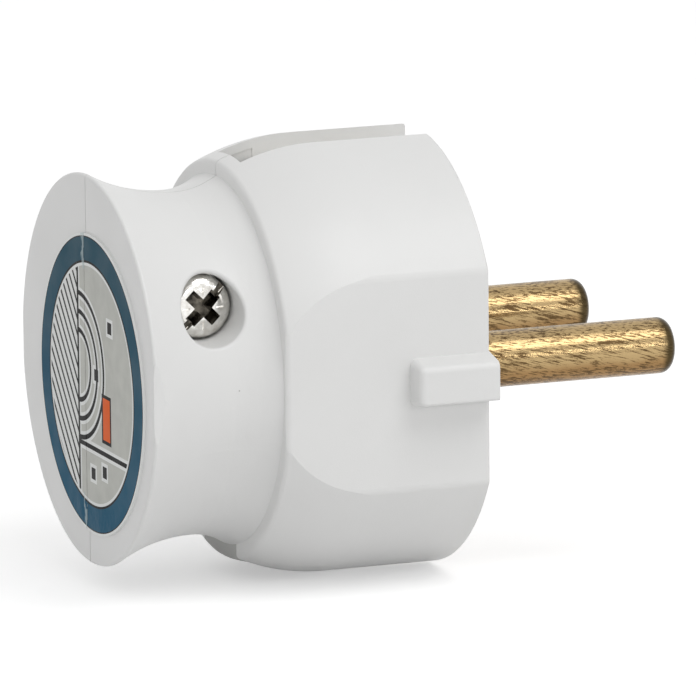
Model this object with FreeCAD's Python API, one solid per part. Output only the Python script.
import FreeCAD, Part
import math
import os

# A rewirable two-pole and earth plug, in millimetres.
# +X points out of the front face along the pins, +Z is up, and -Y is the near side.
# The origin is the centre of the front face, halfway between the two pins.
# Two half shells part on the plane Y = 0 and clasp the plate that carries the pins.

# Turned outline of the housing: a round head, a waisted grip and a flat end.
head_length = 18.2
grip_length = 11.7
head_radius = 18.65
shoulder_length = 7.8
shoulder_arc = 18.26
shoulder_round = 0.5
waist_setback = 3.8
waist_depth = 4.05
front_flare_arc = 6.9
rear_flare_arc = 15.1
rim_round = 0.25
front_edge_round = 0.25
wall = 2.0
seam_turn = 110.0

# Flats on both sides of the head, each with a raised guide rib.
flat_distance = 16.3
flat_rear_round = 0.6
flat_rear_reach = 0.5
flat_edge_round = 1.2
rib_length = 7.15
rib_height = 2.3
rib_crest_width = 3.2
rib_root_width = 4.2
rib_round = 0.6
rib_lower_round = 0.25

# Grooves for the earth contacts at the top and the bottom of the head.
groove_width = 5.4
groove_margin = 1.2
contact_depth = 2.25
pocket_width = 5.6
pocket_length = 3.1
pocket_skin = 0.75
pocket_floor = 3.3

# Fits.
parting_gap = 0.05
slip = 0.1
running = 0.05
seat_gap = 0.15

# How far a cutter passes the face that it opens, and how closely an edge is picked.
overshoot = 1.0
pick = 0.01

# Pins, each turned and milled in one piece with its terminal block.
pin_diameter = 4.8
pin_length = 19.0
pin_spacing = 19.0
pin_end_round = 0.95
pin_seat_diameter = 5.2
block_width = 6.4
block_length = 9.4
block_round = 0.5

# Plate that carries the pins, clasped by the shells.
carrier_nose = 1.6
carrier_flange = 2.8
carrier_lip = 1.2
carrier_rib_height = 1.3
carrier_rib_width = 1.2

# Terminal: a threaded wall, a window for the wire and a pressure plate in it.
terminal_wall = 1.6
window_depth = 3.4
window_length = 3.6
terminal_setback = 2.6
plate_thickness = 0.8
terminal_screw_diameter = 3.0
terminal_screw_length = 3.0
driver_slot_width = 0.6
driver_slot_depth = 1.0

# Earth parts: the bent strap, the female contact on it and its terminal block.
strap_width = 5.0
strap_thickness = 0.8
strap_bend = 1.1
strap_front_gap = 1.0
strap_groove_gap = 0.8
strap_clamp_gap = 0.4
bridge_gap = 1.2
earth_offset = 10.0
sleeve_wall = 0.85
sleeve_bore = 4.9
sleeve_front_gap = 0.7
sleeve_slit_width = 0.8
sleeve_slit_length = 8.0
sleeve_spigot_diameter = 3.0
earth_entry = 5.6
earth_block_length = 5.4
rivet_diameter = 2.4
rivet_head_diameter = 4.0
rivet_head_height = 0.8
rivet_depth = 1.0

# Cord outlet at the bottom of the crease, and the clamp above it.
outlet_width = 7.8
outlet_length = 7.9
outlet_flat_rise = 1.75
grommet_bore = 6.2
grommet_rise = 3.7
grommet_flange_rise = 1.9
grommet_flange_reach = 0.7
grommet_flange_width = 11.0
clamp_rise = 9.85
clamp_screw_spacing = 9.0
clamp_screw_diameter = 2.5
clamp_screw_length = 12.8
clamp_head_diameter = 3.8
clamp_head_height = 1.4
clamp_head_chamfer = 0.3
clamp_bar_width = 4.0
clamp_bar_thickness = 2.6
clamp_bar_chamfer = 0.4
clamp_bar_offset = 2.9
clamp_seat_offset = 3.0
clamp_seat_radius = 3.3
clamp_travel = 1.8
clamp_boss_diameter = 4.8

# Screw that holds the two shells together through the grip.
housing_screw_setback = 5.3
housing_screw_height = 6.7
housing_screw_diameter = 3.0
housing_screw_length = 16.0
housing_head_diameter = 5.4
housing_head_height = 2.0
housing_head_depth = 11.0
counterbore_diameter = 5.7
counterbore_round = 0.3
washer_thickness = 0.5
screw_boss_diameter = 7.8
insert_diameter = 4.6
insert_length = 6.0
insert_setback = 0.3
screw_tip_room = 1.0
cross_width = 0.8
cross_reach = 3.4
cross_depth = 1.2

# Peg that lines the shells up.
peg_diameter = 2.2
peg_length = 2.0
peg_chamfer = 0.4
peg_end_gap = 0.5
peg_boss_diameter = 4.4
peg_setback = 7.8
peg_drop = 10.0

# Stops in the shells behind the terminal blocks.
stop_thickness = 1.25
stop_width = 4.8
stop_overlap = 4.7

# Round label on the end of the grip, slit along the parting line.
label_diameter = 25.6
label_thickness = 0.2
label_side_shift = 1.5
label_drop = 1.0

# Places worked out from the sizes above.
far_reach = 60.0
crease_x = -head_length
end_x = crease_x - grip_length
waist_x = crease_x - waist_setback
waist_radius = head_radius - waist_depth
shoulder_x = crease_x + shoulder_length
carrier_back_x = -(carrier_nose + carrier_flange)
contact_z = head_radius - contact_depth
outlet_x = crease_x + outlet_length / 2
outlet_flat_z = -(head_radius - outlet_flat_rise)
grommet_top_z = -(head_radius - grommet_rise - grommet_flange_rise)
clamp_z = -(head_radius - clamp_rise)
rear_clamp_x = outlet_x - clamp_screw_spacing / 2
front_clamp_x = outlet_x + clamp_screw_spacing / 2
top_groove_length = head_length - groove_margin
bridge_setback = top_groove_length - bridge_gap - strap_thickness / 2
clamp_end_x = front_clamp_x + clamp_bar_width / 2
lower_leg_x = clamp_end_x + strap_clamp_gap + strap_thickness / 2
bridge_drop = -clamp_z - clamp_bar_width / 2 - strap_clamp_gap - strap_thickness / 2
bottom_groove_x = lower_leg_x - strap_thickness / 2 - strap_groove_gap
bridge_rear_x = -(bridge_setback + strap_thickness / 2)
bridge_front_x = -(bridge_setback - strap_thickness / 2)
housing_screw_x = crease_x - housing_screw_setback
housing_seat_y = -(housing_head_depth - housing_head_height - washer_thickness)


def vec(x, y, z):
    return FreeCAD.Vector(x, y, z)


def box(low, high):
    """A box between two corners."""
    size = [b - a for a, b in zip(low, high)]
    return Part.makeBox(size[0], size[1], size[2], vec(*low))


def rod(radius, start, end):
    """A cylinder from one point to another."""
    axis = vec(*end) - vec(*start)
    return Part.makeCylinder(radius, axis.Length, vec(*start), axis)


def rounded(solid, radius, chosen):
    """The solid with its chosen edges rounded."""
    edges = [edge for edge in solid.Edges if chosen(edge)]
    return solid.makeFillet(radius, edges)


def chamfered(solid, size, chosen):
    """The solid with its chosen edges cut off at an even slant."""
    edges = [edge for edge in solid.Edges if chosen(edge)]
    return solid.makeChamfer(size, edges)


def middle(edge):
    return edge.CenterOfMass


def line(start, end):
    return Part.LineSegment(vec(*start), vec(*end)).toShape()


def arc(start, through, end):
    return Part.Arc(vec(*start), vec(*through), vec(*end)).toShape()


def circle_point(centre, radius, x, side):
    """The point at x on a circle in the XZ plane, above (side 1) or below (side -1) its centre."""
    height = math.sqrt(radius ** 2 - (x - centre[0]) ** 2)
    return (x, 0, centre[1] + side * height)


def rounded_end(face_x, radius, circle_centre, circle_radius, hollow):
    """The rounding between an upright face and the circle beside it: its two ends and its middle.

    hollow is 1 where the circle curves into the body and -1 where it bulges out of it.
    """
    reach = circle_radius + hollow * radius
    centre_x = face_x + radius
    across = centre_x - circle_centre[0]
    centre_z = circle_centre[1] - hollow * math.sqrt(reach ** 2 - across ** 2)
    scale = circle_radius / reach
    circle_x = circle_centre[0] + across * scale
    circle_z = circle_centre[1] + (centre_z - circle_centre[1]) * scale
    outward = ((circle_x - centre_x) / radius - 1, (circle_z - centre_z) / radius)
    reach_out = radius / math.hypot(*outward)
    through = (centre_x + outward[0] * reach_out, 0, centre_z + outward[1] * reach_out)
    return (circle_x, 0, circle_z), through, (face_x, 0, centre_z)


def turned_body(inset, rounded_corners=False):
    """The round outline of the housing, all its surfaces moved inwards by one distance."""
    shoulder_centre = (shoulder_x, head_radius - shoulder_arc)
    front_centre = (waist_x, waist_radius + front_flare_arc)
    rear_centre = (waist_x, waist_radius + rear_flare_arc)
    back_x = crease_x + inset
    tail_x = end_x + inset
    head_top = head_radius - inset
    shoulder_r = shoulder_arc - inset
    front_r = front_flare_arc + inset
    rear_r = rear_flare_arc + inset
    shoulder_end = circle_point(shoulder_centre, shoulder_r, back_x, 1)
    rim = circle_point(rear_centre, rear_r, tail_x, -1)
    front_edge = (0, 0, head_top)
    corners = []
    if rounded_corners:
        shoulder_end, through, shoulder_face = rounded_end(
            back_x, shoulder_round, shoulder_centre, shoulder_r, -1)
        corners.append(arc(shoulder_end, through, shoulder_face))
        rim, through, rim_face = rounded_end(tail_x, rim_round, rear_centre, rear_r, 1)
        corners.append(arc(rim, through, rim_face))
        front_edge = (0, 0, head_top - front_edge_round)
        through = corner_middle(head_top, front_edge_round)
        corners.append(arc(front_edge, through, (-front_edge_round, 0, head_top)))
    else:
        shoulder_face = shoulder_end
        rim_face = rim
    head_start = (-front_edge_round, 0, head_top) if rounded_corners else front_edge
    crease = circle_point(front_centre, front_r, back_x, -1)
    waist = (waist_x, 0, waist_radius - inset)
    shoulder_mid = circle_point(shoulder_centre, shoulder_r, (shoulder_end[0] + shoulder_x) / 2, 1)
    front_mid = circle_point(front_centre, front_r, (back_x + waist_x) / 2, -1)
    rear_mid = circle_point(rear_centre, rear_r, (rim[0] + waist_x) / 2, -1)
    profile = corners + [
        line((0, 0, 0), front_edge),
        line(head_start, (shoulder_x, 0, head_top)),
        arc((shoulder_x, 0, head_top), shoulder_mid, shoulder_end),
        line(shoulder_face, crease),
        arc(crease, front_mid, waist),
        arc(waist, rear_mid, rim),
        line(rim_face, (tail_x, 0, 0)),
        line((tail_x, 0, 0), (0, 0, 0)),
    ]
    face = Part.Face(Part.Wire(Part.__sortEdges__(profile)))
    body = face.revolve(vec(0, 0, 0), vec(1, 0, 0), 360)
    # The start of the turned surface is kept away from the parting plane, the grooves and the screw.
    body.rotate(vec(0, 0, 0), vec(1, 0, 0), seam_turn)
    return body


def corner_middle(height, radius):
    """The middle of the quarter circle that rounds the corner between the front face and a side."""
    inwards = radius * (1 - math.sin(math.pi / 4))
    return (-inwards, 0, height - inwards)


def flat_slab(inset):
    """The space between the two flats, its rear edges rounded down to the crease."""
    half = flat_distance - inset
    back_x = crease_x + inset
    start_x = back_x + flat_rear_reach
    edge = rim_edge_y(half, start_x, back_x)
    turn_x = (start_x + back_x) / 2
    turn = rim_edge_y(half, start_x, turn_x)
    far_x = end_x - far_reach
    front_x = -front_edge_round
    front_y = half - front_edge_round
    corner_x, _, corner_y = corner_middle(half, front_edge_round)
    upper = [
        line((0, 0, 0), (0, front_y, 0)),
        arc((0, front_y, 0), (corner_x, corner_y, 0), (front_x, half, 0)),
        line((front_x, half, 0), (start_x, half, 0)),
        arc((start_x, half, 0), (turn_x, turn, 0), (back_x, edge, 0)),
        line((back_x, edge, 0), (back_x, far_reach, 0)),
        line((back_x, far_reach, 0), (far_x, far_reach, 0)),
        line((far_x, far_reach, 0), (far_x, 0, 0)),
        line((far_x, 0, 0), (0, 0, 0)),
    ]
    face = Part.Face(Part.Wire(upper))
    slab = face.extrude(vec(0, 0, 2 * far_reach))
    slab.translate(vec(0, 0, -far_reach))
    return slab.fuse(slab.mirror(vec(0, 0, 0), vec(0, 1, 0))).removeSplitter()


def flat_section():
    """The head's section with its two flats, their long edges rounded, run along X."""
    radius = flat_edge_round
    centre_y = flat_distance - radius
    reach = head_radius - radius
    centre_z = math.sqrt(reach ** 2 - centre_y ** 2)
    scale = head_radius / reach
    half_turn = math.atan2(centre_z, centre_y) / 2
    through_y = centre_y + radius * math.cos(half_turn)
    through_z = centre_z + radius * math.sin(half_turn)
    edges = [arc((0, -centre_y * scale, centre_z * scale), (0, 0, head_radius),
                 (0, centre_y * scale, centre_z * scale)),
             arc((0, -centre_y * scale, -centre_z * scale), (0, 0, -head_radius),
                 (0, centre_y * scale, -centre_z * scale))]
    for side in (-1, 1):
        edges.append(line((0, side * flat_distance, -centre_z), (0, side * flat_distance, centre_z)))
        for end in (-1, 1):
            start = (0, side * centre_y * scale, end * centre_z * scale)
            through = (0, side * through_y, end * through_z)
            edges.append(arc(start, through, (0, side * flat_distance, end * centre_z)))
    face = Part.Face(Part.Wire(Part.__sortEdges__(edges)))
    return face.extrude(vec(end_x - overshoot, 0, 0))


def rim_edge_y(half, start_x, x):
    """How far from the middle the rounded rear edge of a flat lies at x."""
    return half - flat_rear_round + math.sqrt(flat_rear_round ** 2 - (start_x - x) ** 2)


def outer_body():
    """The closed outline of both shells together, before the grooves are cut."""
    body = turned_body(0, rounded_corners=True).common(flat_slab(0)).common(flat_section())
    for side in (-1, 1):
        body = body.fuse(guide_rib(side))
    return body.removeSplitter()


def guide_rib(side):
    """A rib on one flat that tapers from its root to its crest, with rounded edges."""
    crest_y = flat_distance + rib_height
    root_y = flat_distance - rib_height
    spread = (rib_root_width - rib_crest_width) / 2
    root_half = rib_crest_width / 2 + spread * (crest_y - root_y) / rib_height
    crest_half = rib_crest_width / 2
    corners = [(root_y, -root_half), (crest_y, -crest_half), (crest_y, crest_half), (root_y, root_half)]
    points = [vec(-rib_length, side * y, z) for y, z in corners]
    face = Part.Face(Part.makePolygon(points + points[:1]))
    rib = face.extrude(vec(rib_length, 0, 0))

    def lower_edge(edge):
        centre = middle(edge)
        at_crest = abs(abs(centre.y) - crest_y) < pick
        return at_crest and centre.z < -crest_half + pick

    def other_edges(edge):
        centre = middle(edge)
        at_crest = abs(abs(centre.y) - crest_y) < pick and centre.x < -pick
        at_rear = abs(centre.x + rib_length) < pick and abs(centre.y) > root_y + pick
        return (at_crest or at_rear) and centre.z > -crest_half + pick
    return rounded(rounded(rib, rib_lower_round, lower_edge), rib_round, other_edges)


def half_space(side):
    """Everything on one side of the parting plane."""
    near = side * parting_gap
    far = side * far_reach
    low = (end_x - far_reach, min(near, far), -far_reach)
    high = (far_reach, max(near, far), far_reach)
    return box(low, high)


def earth_grooves():
    """Cutters for the two grooves that the earth contacts lie in."""
    half = groove_width / 2
    floor = contact_z - strap_thickness - seat_gap
    top = box((-top_groove_length, -half, floor), (overshoot, half, far_reach))
    bottom = box((bottom_groove_x, -half, -far_reach), (overshoot, half, -floor))
    return top.fuse(bottom)


def strap_pocket():
    """The undercut at the rear of the top groove, where the strap turns into the housing."""
    half = pocket_width / 2
    front_x = -top_groove_length + pocket_length
    low_z = contact_z - pocket_floor
    space = box((-top_groove_length, -half, low_z), (front_x, half, far_reach))
    return space.common(turned_body(pocket_skin))


def cavity():
    """The hollow of the closed housing, open at the front for the carrier's nose."""
    room = turned_body(wall).common(flat_slab(wall))
    rim_x = -(carrier_nose - slip)
    room = room.cut(box((rim_x, -far_reach, -far_reach), (overshoot, far_reach, far_reach)))
    rib_room = turned_body(wall + carrier_rib_height).common(flat_slab(wall + carrier_rib_height))
    front_x = carrier_back_x - slip
    slice_low = (front_x - carrier_rib_width, -far_reach, -far_reach)
    rib_slice = box(slice_low, (front_x, far_reach, far_reach))
    contact_gap = groove_width / 2 + slip
    strap_way = box((front_x - carrier_rib_width, -contact_gap, -far_reach),
                    (front_x, contact_gap, far_reach))
    rib = rib_slice.cut(rib_room).cut(strap_way)
    return room.cut(rib).fuse(carrier_outline(0, carrier_nose, carrier_lip - slip))


def carrier_outline(front_x, thickness, lip):
    """A disc with two flats that fits the hollow, less a lip all round."""
    radius = head_radius - wall - seat_gap - lip
    half = flat_distance - wall - seat_gap - lip
    disc = rod(radius, (front_x - thickness, 0, 0), (front_x, 0, 0))
    flats = box((front_x - thickness, -half, -far_reach), (front_x, half, far_reach))
    return disc.common(flats)


def outlet_notch(gap):
    """The space of the cord outlet, cut through the shells at the bottom of the crease."""
    half = outlet_width / 2 - gap
    front_x = crease_x + outlet_length - gap
    top_z = grommet_top_z + slip - gap
    return box((crease_x, -half, -far_reach), (front_x, half, top_z))


def screw_hole_cutters():
    """The counterbore and the clearance hole for the housing screw in the near shell."""
    place = (housing_screw_x, housing_screw_height)
    recess = rod(counterbore_diameter / 2, (place[0], -far_reach, place[1]),
                 (place[0], housing_seat_y, place[1]))
    hole = rod(housing_screw_diameter / 2 + slip, (place[0], housing_seat_y, place[1]),
               (place[0], overshoot, place[1]))
    return recess.fuse(hole)


def column(x, z, diameter, side, start):
    """A round boss along Y from the parting side to the outer wall of one shell."""
    near = (x, side * start, z)
    far = (x, side * far_reach, z)
    return rod(diameter / 2, near, far)


def block_stop(side):
    """A rib that keeps a pin's terminal block from being pushed back."""
    front_x = carrier_back_x - block_length - seat_gap
    edge_y = pin_spacing / 2 + block_width / 2 - stop_overlap
    low_y = min(side * edge_y, side * far_reach)
    high_y = max(side * edge_y, side * far_reach)
    low = (front_x - stop_thickness, low_y, -stop_width / 2)
    high = (front_x, high_y, stop_width / 2)
    return box(low, high)


def bare_shell(side, body):
    """One half of the housing: its wall, its stop and the boss for the housing screw."""
    space = half_space(side)
    hollow = cavity()
    boss = column(housing_screw_x, housing_screw_height, screw_boss_diameter, side, parting_gap)
    peg_x = crease_x - peg_setback
    peg_boss = column(peg_x, -peg_drop, peg_boss_diameter, side, parting_gap)
    inner_parts = boss.fuse(peg_boss).fuse(block_stop(side))
    shell = body.cut(hollow).fuse(inner_parts.common(body))
    shell = shell.common(space)
    return shell.cut(earth_grooves()).cut(strap_pocket()).cut(outlet_notch(0))


def at_mouth(edge):
    """Whether an edge is part of the counterbore's rim in the outer surface."""
    halfway = edge.valueAt((edge.FirstParameter + edge.LastParameter) / 2)
    for point in [vertex.Point for vertex in edge.Vertexes] + [halfway]:
        reach = math.hypot(point.x - housing_screw_x, point.z - housing_screw_height)
        if abs(reach - counterbore_diameter / 2) > pick or point.y > housing_seat_y - pick:
            return False
    return True


def near_shell(body):
    shell = bare_shell(-1, body).cut(screw_hole_cutters())
    shell = rounded(shell, counterbore_round, at_mouth)
    peg_x = crease_x - peg_setback
    peg = rod(peg_diameter / 2, (peg_x, -parting_gap, -peg_drop), (peg_x, peg_length, -peg_drop))
    peg = chamfered(peg, peg_chamfer, lambda edge: middle(edge).y > peg_length - pick)
    return shell.fuse(peg).removeSplitter()


def far_shell(body):
    shell = bare_shell(1, body)
    supports = cord_seat().common(body).common(half_space(1))
    shell = shell.fuse(supports)
    insert_end = insert_setback + insert_length
    place = (housing_screw_x, housing_screw_height)
    insert_hole = rod(insert_diameter / 2, (place[0], 0, place[1]), (place[0], insert_end, place[1]))
    tip_room = rod(housing_screw_diameter / 2 + slip, (place[0], 0, place[1]),
                   (place[0], insert_end + screw_tip_room, place[1]))
    peg_x = crease_x - peg_setback
    socket = rod(peg_diameter / 2 + slip, (peg_x, 0, -peg_drop), (peg_x, peg_length + peg_end_gap, -peg_drop))
    shell = shell.cut(insert_hole).cut(tip_room).cut(socket)
    for x in (rear_clamp_x, front_clamp_x):
        depth = clamp_screw_length - clamp_bar_offset - clamp_bar_thickness + clamp_travel + slip
        hole = rod(clamp_screw_diameter / 2 + running, (x, 0, clamp_z), (x, depth, clamp_z))
        shell = shell.cut(hole)
    return shell.removeSplitter()


def cord_seat():
    """Two screw bosses and the hollowed rest between them that the cord is pressed against."""
    seat_low = (rear_clamp_x, clamp_seat_offset, clamp_z - clamp_bar_width / 2)
    seat_high = (front_clamp_x, far_reach, clamp_z + clamp_bar_width / 2)
    seat = box(seat_low, seat_high)
    groove_low = (outlet_x, 0, clamp_z - clamp_bar_width)
    groove_high = (outlet_x, 0, clamp_z + clamp_bar_width)
    seat = seat.cut(rod(clamp_seat_radius, groove_low, groove_high))
    for x in (rear_clamp_x, front_clamp_x):
        seat = seat.fuse(column(x, clamp_z, clamp_boss_diameter, 1, clamp_seat_offset))
    return seat


def pin_carrier():
    """The plate that closes the front and holds both pins and the earth contact."""
    plate = carrier_outline(-carrier_nose, carrier_flange, 0)
    plate = plate.fuse(carrier_outline(0, carrier_nose, carrier_lip))
    half = strap_width / 2 + slip
    floor = contact_z - strap_thickness
    for low, high in ((floor, far_reach), (-far_reach, -floor)):
        plate = plate.cut(box((carrier_back_x - overshoot, -half, low), (overshoot, half, high)))
    for y in (-pin_spacing / 2, pin_spacing / 2):
        start = (carrier_back_x - overshoot, y, 0)
        plate = plate.cut(rod(pin_seat_diameter / 2, start, (overshoot, y, 0)))
    sleeve_radius = sleeve_bore / 2 + sleeve_wall
    seat_x = -(sleeve_front_gap - slip)
    mouth_start = (seat_x - overshoot, 0, earth_offset)
    plate = plate.cut(rod(earth_entry / 2, mouth_start, (overshoot, 0, earth_offset)))
    seat_start = (carrier_back_x - overshoot, 0, earth_offset)
    seat = rod(sleeve_radius + running, seat_start, (seat_x, 0, earth_offset))
    return plate.cut(seat).removeSplitter()


def wire_window(x, y, z, reach):
    """Cutters for a terminal: the window for the wire and the hole for its screw."""
    near_y = y - block_width / 2 + terminal_wall
    half = window_length / 2
    window = box((x - half, near_y, z - reach), (x + half, near_y + window_depth, z + reach))
    hole_radius = terminal_screw_diameter / 2 + running
    hole = rod(hole_radius, (x, y - block_width, z), (x, near_y + slip, z))
    return window.fuse(hole)


def contact_pin(y):
    """A round pin with a milled terminal block behind the carrier."""
    pin = rod(pin_diameter / 2, (0, y, 0), (pin_length, y, 0))
    pin = rounded(pin, pin_end_round, lambda edge: middle(edge).x > pin_length - pick)
    pin = pin.fuse(rod(pin_seat_diameter / 2, (carrier_back_x, y, 0), (0, y, 0)))
    half = block_width / 2
    rear_x = carrier_back_x - block_length
    block = box((rear_x, y - half, -half), (carrier_back_x, y + half, half))
    block = rounded(block, block_round, lambda edge: middle(edge).x < rear_x + pick)
    screw_x = rear_x + terminal_setback
    return block.fuse(pin).cut(wire_window(screw_x, y, 0, block_width)).removeSplitter()


def earth_terminal_block():
    """A brass block riveted to the back of the strap."""
    half = block_width / 2
    rear_x = bridge_rear_x - earth_block_length
    block = box((rear_x, -half, -half), (bridge_rear_x, half, half))
    block = rounded(block, block_round, lambda edge: middle(edge).x < rear_x + pick)
    block = block.cut(wire_window(rear_x + terminal_setback, 0, 0, block_width))
    hole = rod(rivet_diameter / 2, (bridge_rear_x - rivet_depth, 0, 0), (bridge_rear_x, 0, 0))
    return block.cut(hole)


def pressure_plate(x, y):
    """A loose plate in the window, moved by the tip of the terminal screw."""
    near_y = y - block_width / 2 + terminal_wall + running
    half = window_length / 2 - slip
    plate = box((x - half, near_y, -half), (x + half, near_y + plate_thickness, half))
    top_y = near_y + plate_thickness
    return rounded(plate, plate_thickness / 3, lambda edge: middle(edge).y > top_y - pick)


def terminal_screw(x, y):
    """A headless screw with a driver slot, backed out as far as an empty terminal leaves it."""
    tip_y = y - block_width / 2 + terminal_wall + running
    top_y = tip_y - terminal_screw_length
    radius = terminal_screw_diameter / 2
    screw = rod(radius, (x, top_y, 0), (x, tip_y, 0))
    half = driver_slot_width / 2
    slot = box((x - radius, top_y, -half), (x + radius, top_y + driver_slot_depth, half))
    return screw.cut(slot)


def strip_edges(points, shift):
    """The edges of a bent strip's one side, shifted sideways from its middle line, in the XZ plane."""
    edges = []
    last = shifted(points[0], points[0], points[1], shift)
    for before, corner, after in zip(points, points[1:], points[2:]):
        turn_in = direction(before, corner)
        turn_out = direction(corner, after)
        side = 1 if turn_in[0] * turn_out[1] - turn_in[1] * turn_out[0] > 0 else -1
        start = (corner[0] - turn_in[0] * strap_bend, corner[1] - turn_in[1] * strap_bend)
        centre = (start[0] - side * turn_in[1] * strap_bend, start[1] + side * turn_in[0] * strap_bend)
        radius = strap_bend - side * shift
        outward = (turn_in[0] - turn_out[0], turn_in[1] - turn_out[1])
        reach = radius / math.hypot(*outward)
        through = (centre[0] + outward[0] * reach, centre[1] + outward[1] * reach)
        arc_start = (centre[0] + side * turn_in[1] * radius, centre[1] - side * turn_in[0] * radius)
        arc_end = (centre[0] + side * turn_out[1] * radius, centre[1] - side * turn_out[0] * radius)
        edges.append(line(flat_point(last), flat_point(arc_start)))
        edges.append(arc(flat_point(arc_start), flat_point(through), flat_point(arc_end)))
        last = arc_end
    end = shifted(points[-1], points[-2], points[-1], shift)
    edges.append(line(flat_point(last), flat_point(end)))
    return edges, flat_point(shifted(points[0], points[0], points[1], shift)), flat_point(end)


def direction(start, end):
    length = math.hypot(end[0] - start[0], end[1] - start[1])
    return ((end[0] - start[0]) / length, (end[1] - start[1]) / length)


def shifted(point, start, end, shift):
    along = direction(start, end)
    return (point[0] - along[1] * shift, point[1] + along[0] * shift)


def flat_point(pair):
    return (pair[0], -strap_width / 2, pair[1])


def earth_strap():
    """One bent strip: top contact, bridge behind the carrier, lower leg and bottom contact."""
    level = contact_z - strap_thickness / 2
    points = [
        (-strap_front_gap, level),
        (-bridge_setback, level),
        (-bridge_setback, -bridge_drop),
        (lower_leg_x, -bridge_drop),
        (lower_leg_x, -level),
        (-strap_front_gap, -level),
    ]
    left, left_start, left_end = strip_edges(points, strap_thickness / 2)
    right, right_start, right_end = strip_edges(points, -strap_thickness / 2)
    outline = left + right + [line(left_start, right_start), line(left_end, right_end)]
    face = Part.Face(Part.Wire(Part.__sortEdges__(outline)))
    strap = face.extrude(vec(0, strap_width, 0))
    rear_x = bridge_rear_x - overshoot
    front_x = bridge_front_x + overshoot
    spigot_hole = rod(sleeve_spigot_diameter / 2, (rear_x, 0, earth_offset), (front_x, 0, earth_offset))
    rivet_hole = rod(rivet_diameter / 2, (rear_x, 0, 0), (front_x, 0, 0))
    return strap.cut(spigot_hole).cut(rivet_hole)


def earth_socket_sleeve():
    """The slit tube that takes the socket's earth pin, riveted over behind the strap."""
    centre_z = earth_offset
    front_x = -sleeve_front_gap
    bore_end_x = bridge_front_x + sleeve_wall
    tube = rod(sleeve_bore / 2 + sleeve_wall, (bridge_front_x, 0, centre_z), (front_x, 0, centre_z))
    tube = tube.cut(rod(sleeve_bore / 2, (bore_end_x, 0, centre_z), (overshoot, 0, centre_z)))
    half = sleeve_slit_width / 2
    slit_low = (front_x - sleeve_slit_length, -far_reach, centre_z - half)
    tube = tube.cut(box(slit_low, (overshoot, far_reach, centre_z + half)))
    spigot_end_x = bridge_rear_x - strap_thickness / 2
    spigot = rod(sleeve_spigot_diameter / 2, (spigot_end_x, 0, centre_z), (bridge_front_x, 0, centre_z))
    flare = Part.makeCone(sleeve_spigot_diameter / 2, sleeve_spigot_diameter / 2 + strap_thickness / 2,
                          strap_thickness / 2, vec(spigot_end_x, 0, centre_z), vec(1, 0, 0))
    return tube.fuse(spigot).fuse(flare).removeSplitter()


def earth_rivet():
    """The rivet that joins the strap to the earth terminal block."""
    shank = rod(rivet_diameter / 2, (bridge_rear_x - rivet_depth, 0, 0), (bridge_front_x, 0, 0))
    head = rod(rivet_head_diameter / 2, (bridge_front_x, 0, 0), (bridge_front_x + rivet_head_height, 0, 0))
    head = rounded(head, rivet_head_height / 2, lambda edge: middle(edge).x > bridge_front_x + pick)
    return shank.fuse(head).removeSplitter()


def cord_clamp_bar():
    """A bar with round ends and a hollow middle that the two clamp screws press on the cord."""
    inner_y = -clamp_bar_offset
    outer_y = inner_y - clamp_bar_thickness
    half = clamp_bar_width / 2
    bar = box((rear_clamp_x, outer_y, clamp_z - half), (front_clamp_x, inner_y, clamp_z + half))
    for x in (rear_clamp_x, front_clamp_x):
        bar = bar.fuse(rod(half, (x, outer_y, clamp_z), (x, inner_y, clamp_z)))
    bar = bar.removeSplitter()
    bar = chamfered(bar, clamp_bar_chamfer, lambda edge: abs(middle(edge).y - outer_y) < pick)
    cord_low = (outlet_x, 0, clamp_z - far_reach)
    cord_high = (outlet_x, 0, clamp_z + far_reach)
    bar = bar.cut(rod(clamp_seat_radius, cord_low, cord_high))
    hole_radius = clamp_screw_diameter / 2 + running
    for x in (rear_clamp_x, front_clamp_x):
        start = (x, outer_y - overshoot, clamp_z)
        bar = bar.cut(rod(hole_radius, start, (x, inner_y + overshoot, clamp_z)))
    return bar


def clamp_screw(x):
    """A slotted cheese-head screw of the cord clamp."""
    seat_y = -(clamp_bar_offset + clamp_bar_thickness)
    top_y = seat_y - clamp_head_height
    shank = rod(clamp_screw_diameter / 2, (x, seat_y, clamp_z), (x, seat_y + clamp_screw_length, clamp_z))
    head = rod(clamp_head_diameter / 2, (x, top_y, clamp_z), (x, seat_y, clamp_z))
    head = chamfered(head, clamp_head_chamfer, lambda edge: middle(edge).y < top_y + pick)
    half = driver_slot_width / 2
    reach = clamp_head_diameter
    slot_low = (x - reach, top_y - overshoot, clamp_z - half)
    slot_high = (x + reach, top_y + clamp_head_height / 2, clamp_z + half)
    slot = box(slot_low, slot_high)
    return head.cut(slot).fuse(shank).removeSplitter()


def cord_grommet(body):
    """The bush that fills the outlet, flush behind and flat below, held inside by its flange."""
    plug = outlet_notch(slip).common(body)
    inner = turned_body(wall + seat_gap)
    half = grommet_flange_width / 2
    front_x = crease_x + outlet_length + grommet_flange_reach
    rear_x = crease_x + wall + seat_gap
    flange = box((rear_x, -half, -far_reach), (front_x, half, grommet_top_z)).common(inner)
    bush = plug.fuse(flange)
    below = box((crease_x - overshoot, -far_reach, -far_reach), (0, far_reach, outlet_flat_z))
    bush = bush.cut(below)
    bore = rod(grommet_bore / 2, (outlet_x, 0, -far_reach), (outlet_x, 0, 0))
    return bush.cut(bore).removeSplitter()


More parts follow.
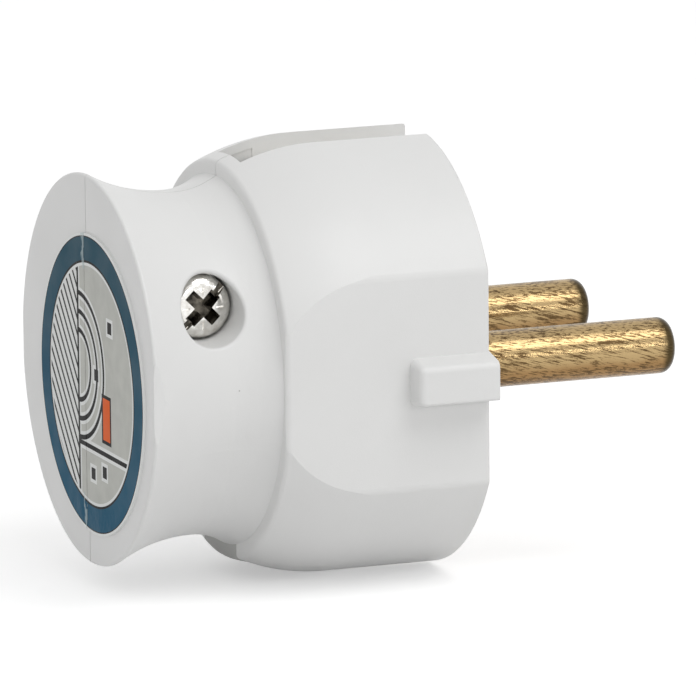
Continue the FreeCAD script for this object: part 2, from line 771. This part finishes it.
def housing_screw():
    """A pan-head screw with a cross recess and a straight slot over it."""
    place = (housing_screw_x, housing_screw_height)
    top_y = -housing_head_depth
    seat_y = top_y + housing_head_height
    head = rod(housing_head_diameter / 2, (place[0], top_y, place[1]), (place[0], seat_y, place[1]))
    head = rounded(head, housing_head_height / 3, lambda edge: middle(edge).y < top_y + pick)
    end_y = seat_y + housing_screw_length
    shank = rod(housing_screw_diameter / 2, (place[0], seat_y, place[1]), (place[0], end_y, place[1]))
    screw = head.fuse(shank)
    half = cross_width / 2
    reach = cross_reach / 2
    low_y = top_y - overshoot
    high_y = top_y + cross_depth
    arm = box((-reach, low_y, -half), (reach, high_y, half))
    arm = arm.fuse(box((-half, low_y, -reach), (half, high_y, reach)))
    arm.rotate(vec(0, 0, 0), vec(0, 1, 0), 45)
    arm.translate(vec(place[0], 0, place[1]))
    return screw.cut(arm).removeSplitter()


def housing_screw_washer():
    place = (housing_screw_x, housing_screw_height)
    start = (place[0], housing_seat_y - washer_thickness, place[1])
    end = (place[0], housing_seat_y, place[1])
    washer = rod(counterbore_diameter / 2 - slip, start, end)
    return washer.cut(rod(housing_screw_diameter / 2 + running, start, end))


def threaded_insert():
    """The brass insert in the far shell that the housing screw turns into."""
    place = (housing_screw_x, housing_screw_height)
    start = (place[0], insert_setback, place[1])
    end = (place[0], insert_setback + insert_length, place[1])
    insert = rod(insert_diameter / 2, start, end)
    return insert.cut(rod(housing_screw_diameter / 2 + running, start, end))


def label_half(side):
    """Half of the round label, cut along the parting line of the shells."""
    start = (end_x - label_thickness, -label_side_shift, -label_drop)
    end = (end_x, -label_side_shift, -label_drop)
    disc = rod(label_diameter / 2, start, end)
    return disc.common(half_space(side))


def all_parts():
    body = outer_body()
    pin_y = pin_spacing / 2
    pin_screw_x = carrier_back_x - block_length + terminal_setback
    earth_screw_x = bridge_rear_x - earth_block_length + terminal_setback
    parts = {
        "near_shell": near_shell(body),
        "far_shell": far_shell(body),
        "pin_carrier": pin_carrier(),
        "earth_strap": earth_strap(),
        "earth_socket_sleeve": earth_socket_sleeve(),
        "earth_terminal_block": earth_terminal_block(),
        "earth_rivet": earth_rivet(),
        "cord_grommet": cord_grommet(body),
        "cord_clamp_bar": cord_clamp_bar(),
        "cord_clamp_screw_rear": clamp_screw(rear_clamp_x),
        "cord_clamp_screw_front": clamp_screw(front_clamp_x),
        "housing_screw": housing_screw(),
        "housing_screw_washer": housing_screw_washer(),
        "threaded_insert": threaded_insert(),
        "label_near_half": label_half(-1),
        "label_far_half": label_half(1),
    }
    terminals = {
        "neutral": (pin_screw_x, -pin_y),
        "line": (pin_screw_x, pin_y),
        "earth": (earth_screw_x, 0),
    }
    for name, (x, y) in terminals.items():
        parts[name + "_pressure_plate"] = pressure_plate(x, y)
        parts[name + "_terminal_screw"] = terminal_screw(x, y)
    parts["neutral_pin"] = contact_pin(-pin_y)
    parts["line_pin"] = contact_pin(pin_y)
    return parts


os.makedirs("parts", exist_ok=True)
for name, solid in all_parts().items():
    print(name, "solids", len(solid.Solids), "valid", solid.isValid(), "volume", round(solid.Volume, 1))
    solid.exportStep(os.path.join("parts", name + ".step"))
